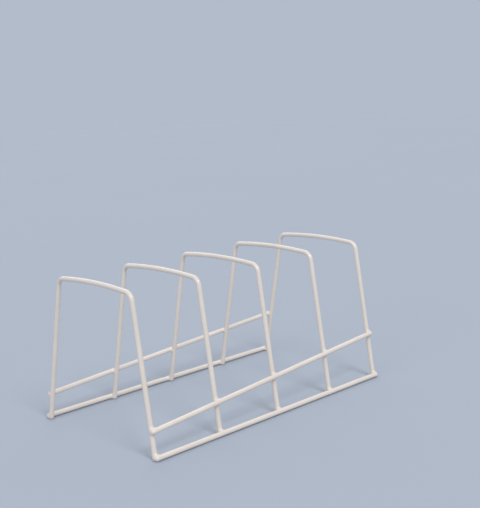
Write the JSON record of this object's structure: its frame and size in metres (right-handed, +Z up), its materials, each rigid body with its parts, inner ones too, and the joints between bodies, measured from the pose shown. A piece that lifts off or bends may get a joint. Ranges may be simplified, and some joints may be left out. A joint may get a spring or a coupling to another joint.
{
  "type": "plate rack",
  "caption": "Free-standing vinyl-coated wire rack: arched dividers welded between straight side rails hold plates on edge, and the upper rails rise towards one end.",
  "frame": {"origin": "on the table, at the middle of the box round the rack", "axes": "+X across the rack, +Y along it from the end with low upper rails to the end with high ones, +Z up"},
  "size_m": [0.1442, 0.2639, 0.125],
  "materials": {
    "steel_wire": "bright drawn, under the coating",
    "weld_nugget": "resistance-welded steel, under the coating",
    "white_vinyl": "satin-gloss dipped vinyl, slightly warm white"
  },
  "bodies": {
    "root": {"divider_1_wire": "steel_wire", "divider_1_coating": "white_vinyl", "divider_1_welds": "weld_nugget", "divider_2_wire": "steel_wire", "divider_2_coating": "white_vinyl", "divider_2_welds": "weld_nugget", "divider_3_wire": "steel_wire", "divider_3_coating": "white_vinyl", "divider_3_welds": "weld_nugget", "divider_4_wire": "steel_wire", "divider_4_coating": "white_vinyl", "divider_4_welds": "weld_nugget", "divider_5_wire": "steel_wire", "divider_5_coating": "white_vinyl", "divider_5_welds": "weld_nugget", "lower_left_rail_wire": "steel_wire", "lower_left_rail_coating": "white_vinyl", "lower_right_rail_wire": "steel_wire", "lower_right_rail_coating": "white_vinyl", "upper_left_rail_wire": "steel_wire", "upper_left_rail_coating": "white_vinyl", "upper_right_rail_wire": "steel_wire", "upper_right_rail_coating": "white_vinyl"}
  },
  "joints": []
}
